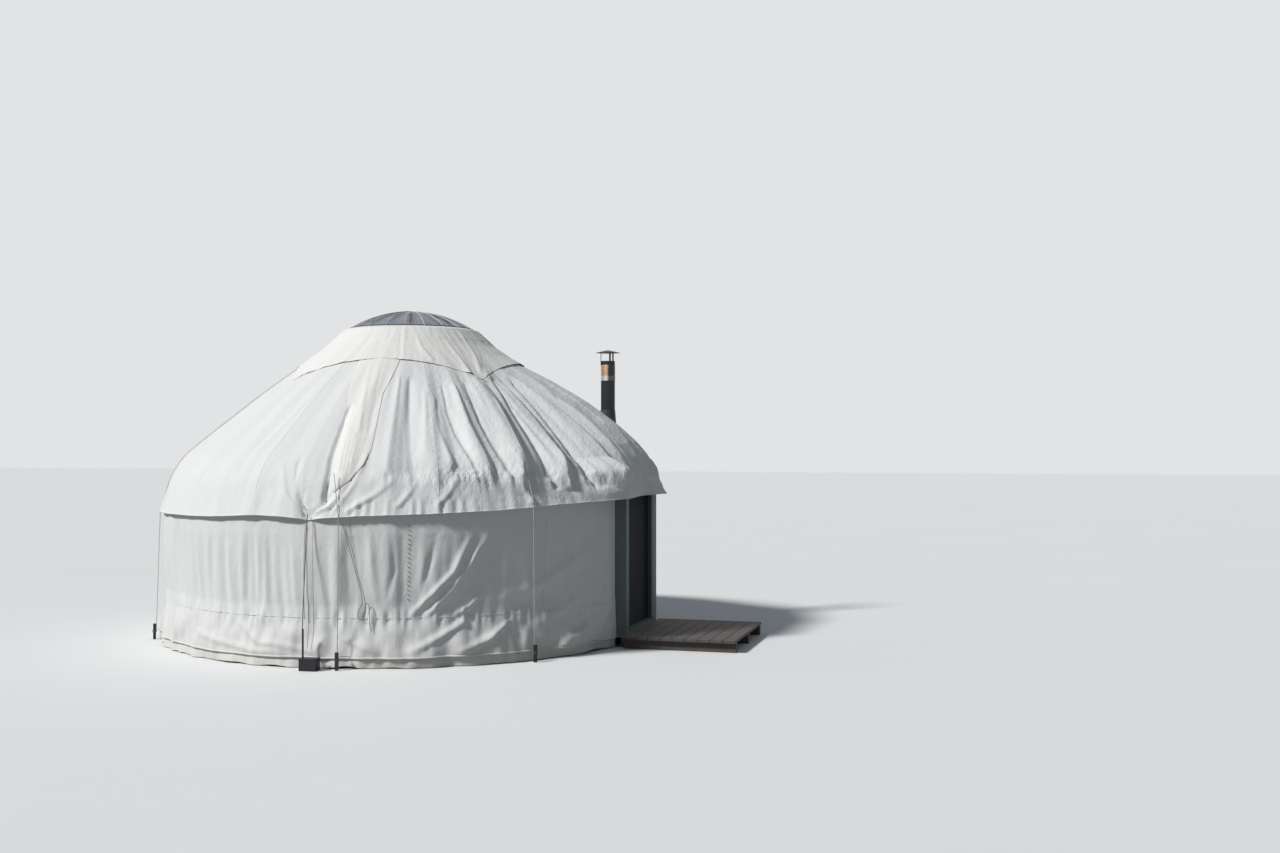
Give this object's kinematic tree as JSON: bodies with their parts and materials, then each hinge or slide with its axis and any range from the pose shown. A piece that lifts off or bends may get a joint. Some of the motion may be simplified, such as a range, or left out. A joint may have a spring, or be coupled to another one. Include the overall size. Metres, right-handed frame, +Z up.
{
  "type": "yurt",
  "caption": "Small round canvas yurt on a timber floor: lattice wall, bent poles, domed crown window, boarded doorstep, stove flue and an inward-opening door.",
  "frame": {"origin": "on the ground, on the upright axis through the middle of the crown", "axes": "+Z up; the door faces -Y; +X to the right of someone facing the door from outside"},
  "size_m": [4.3221, 5.1215, 2.804],
  "materials": {
    "timber": "planed and oiled",
    "weathered_boards": "weathered, dark",
    "painted_wood": "satin paint, grey green",
    "dark_paint": "satin paint, dark slate",
    "canvas": "matt proofed cotton canvas, white",
    "cream_canvas": "matt proofed canvas, cream",
    "webbing": "woven belt",
    "rope": "laid rope",
    "clear_sheet": "clear flexible sheet, greyed",
    "zinc_steel": "zinc plated",
    "black_steel": "matt black stove paint",
    "boot_rubber": "moulded rubber"
  },
  "bodies": {
    "yurt": {"crown_cap": "cream_canvas", "crown_hoop": "timber", "crown_ribs": "timber", "crown_window": "clear_sheet", "door_head": "painted_wood", "door_jamb_left": "painted_wood", "door_jamb_right": "painted_wood", "door_sill": "painted_wood", "doorstep_boards": "weathered_boards", "doorstep_joists": "weathered_boards", "floor_deck": "timber", "floor_joists": "timber", "flue_band": "zinc_steel", "flue_cowl": "black_steel", "flue_flashing": "boot_rubber", "flue_pipe": "black_steel", "hem_tie": "rope", "hinge_frame": "zinc_steel", "lattice_1": "timber", "lattice_2": "timber", "lattice_3": "timber", "lattice_4": "timber", "lattice_5": "timber", "lattice_6": "timber", "roof_canvas_1": "canvas", "roof_canvas_2": "canvas", "roof_canvas_3": "canvas", "roof_canvas_4": "canvas", "roof_canvas_5": "canvas", "roof_canvas_6": "canvas", "roof_poles": "timber", "roof_strip": "cream_canvas", "rope_pegs": "timber", "tie_ropes": "rope", "tie_stakes": "black_steel", "wall_band": "webbing", "wall_canvas_1": "canvas", "wall_canvas_2": "canvas", "wall_canvas_3": "canvas", "wall_canvas_4": "canvas", "wall_canvas_5": "canvas", "wall_canvas_6": "canvas"},
    "door": {"door_leaf": "dark_paint", "hinge_leaf": "zinc_steel", "door_pull": "black_steel"}
  },
  "joints": [
    {"name": "door_hinge", "type": "hinge", "parent": "yurt", "child": "door", "pos_m": [0.412, -1.991, 0.7], "axis": [0, 0, -1], "range_deg": [0, 90]}
  ]
}
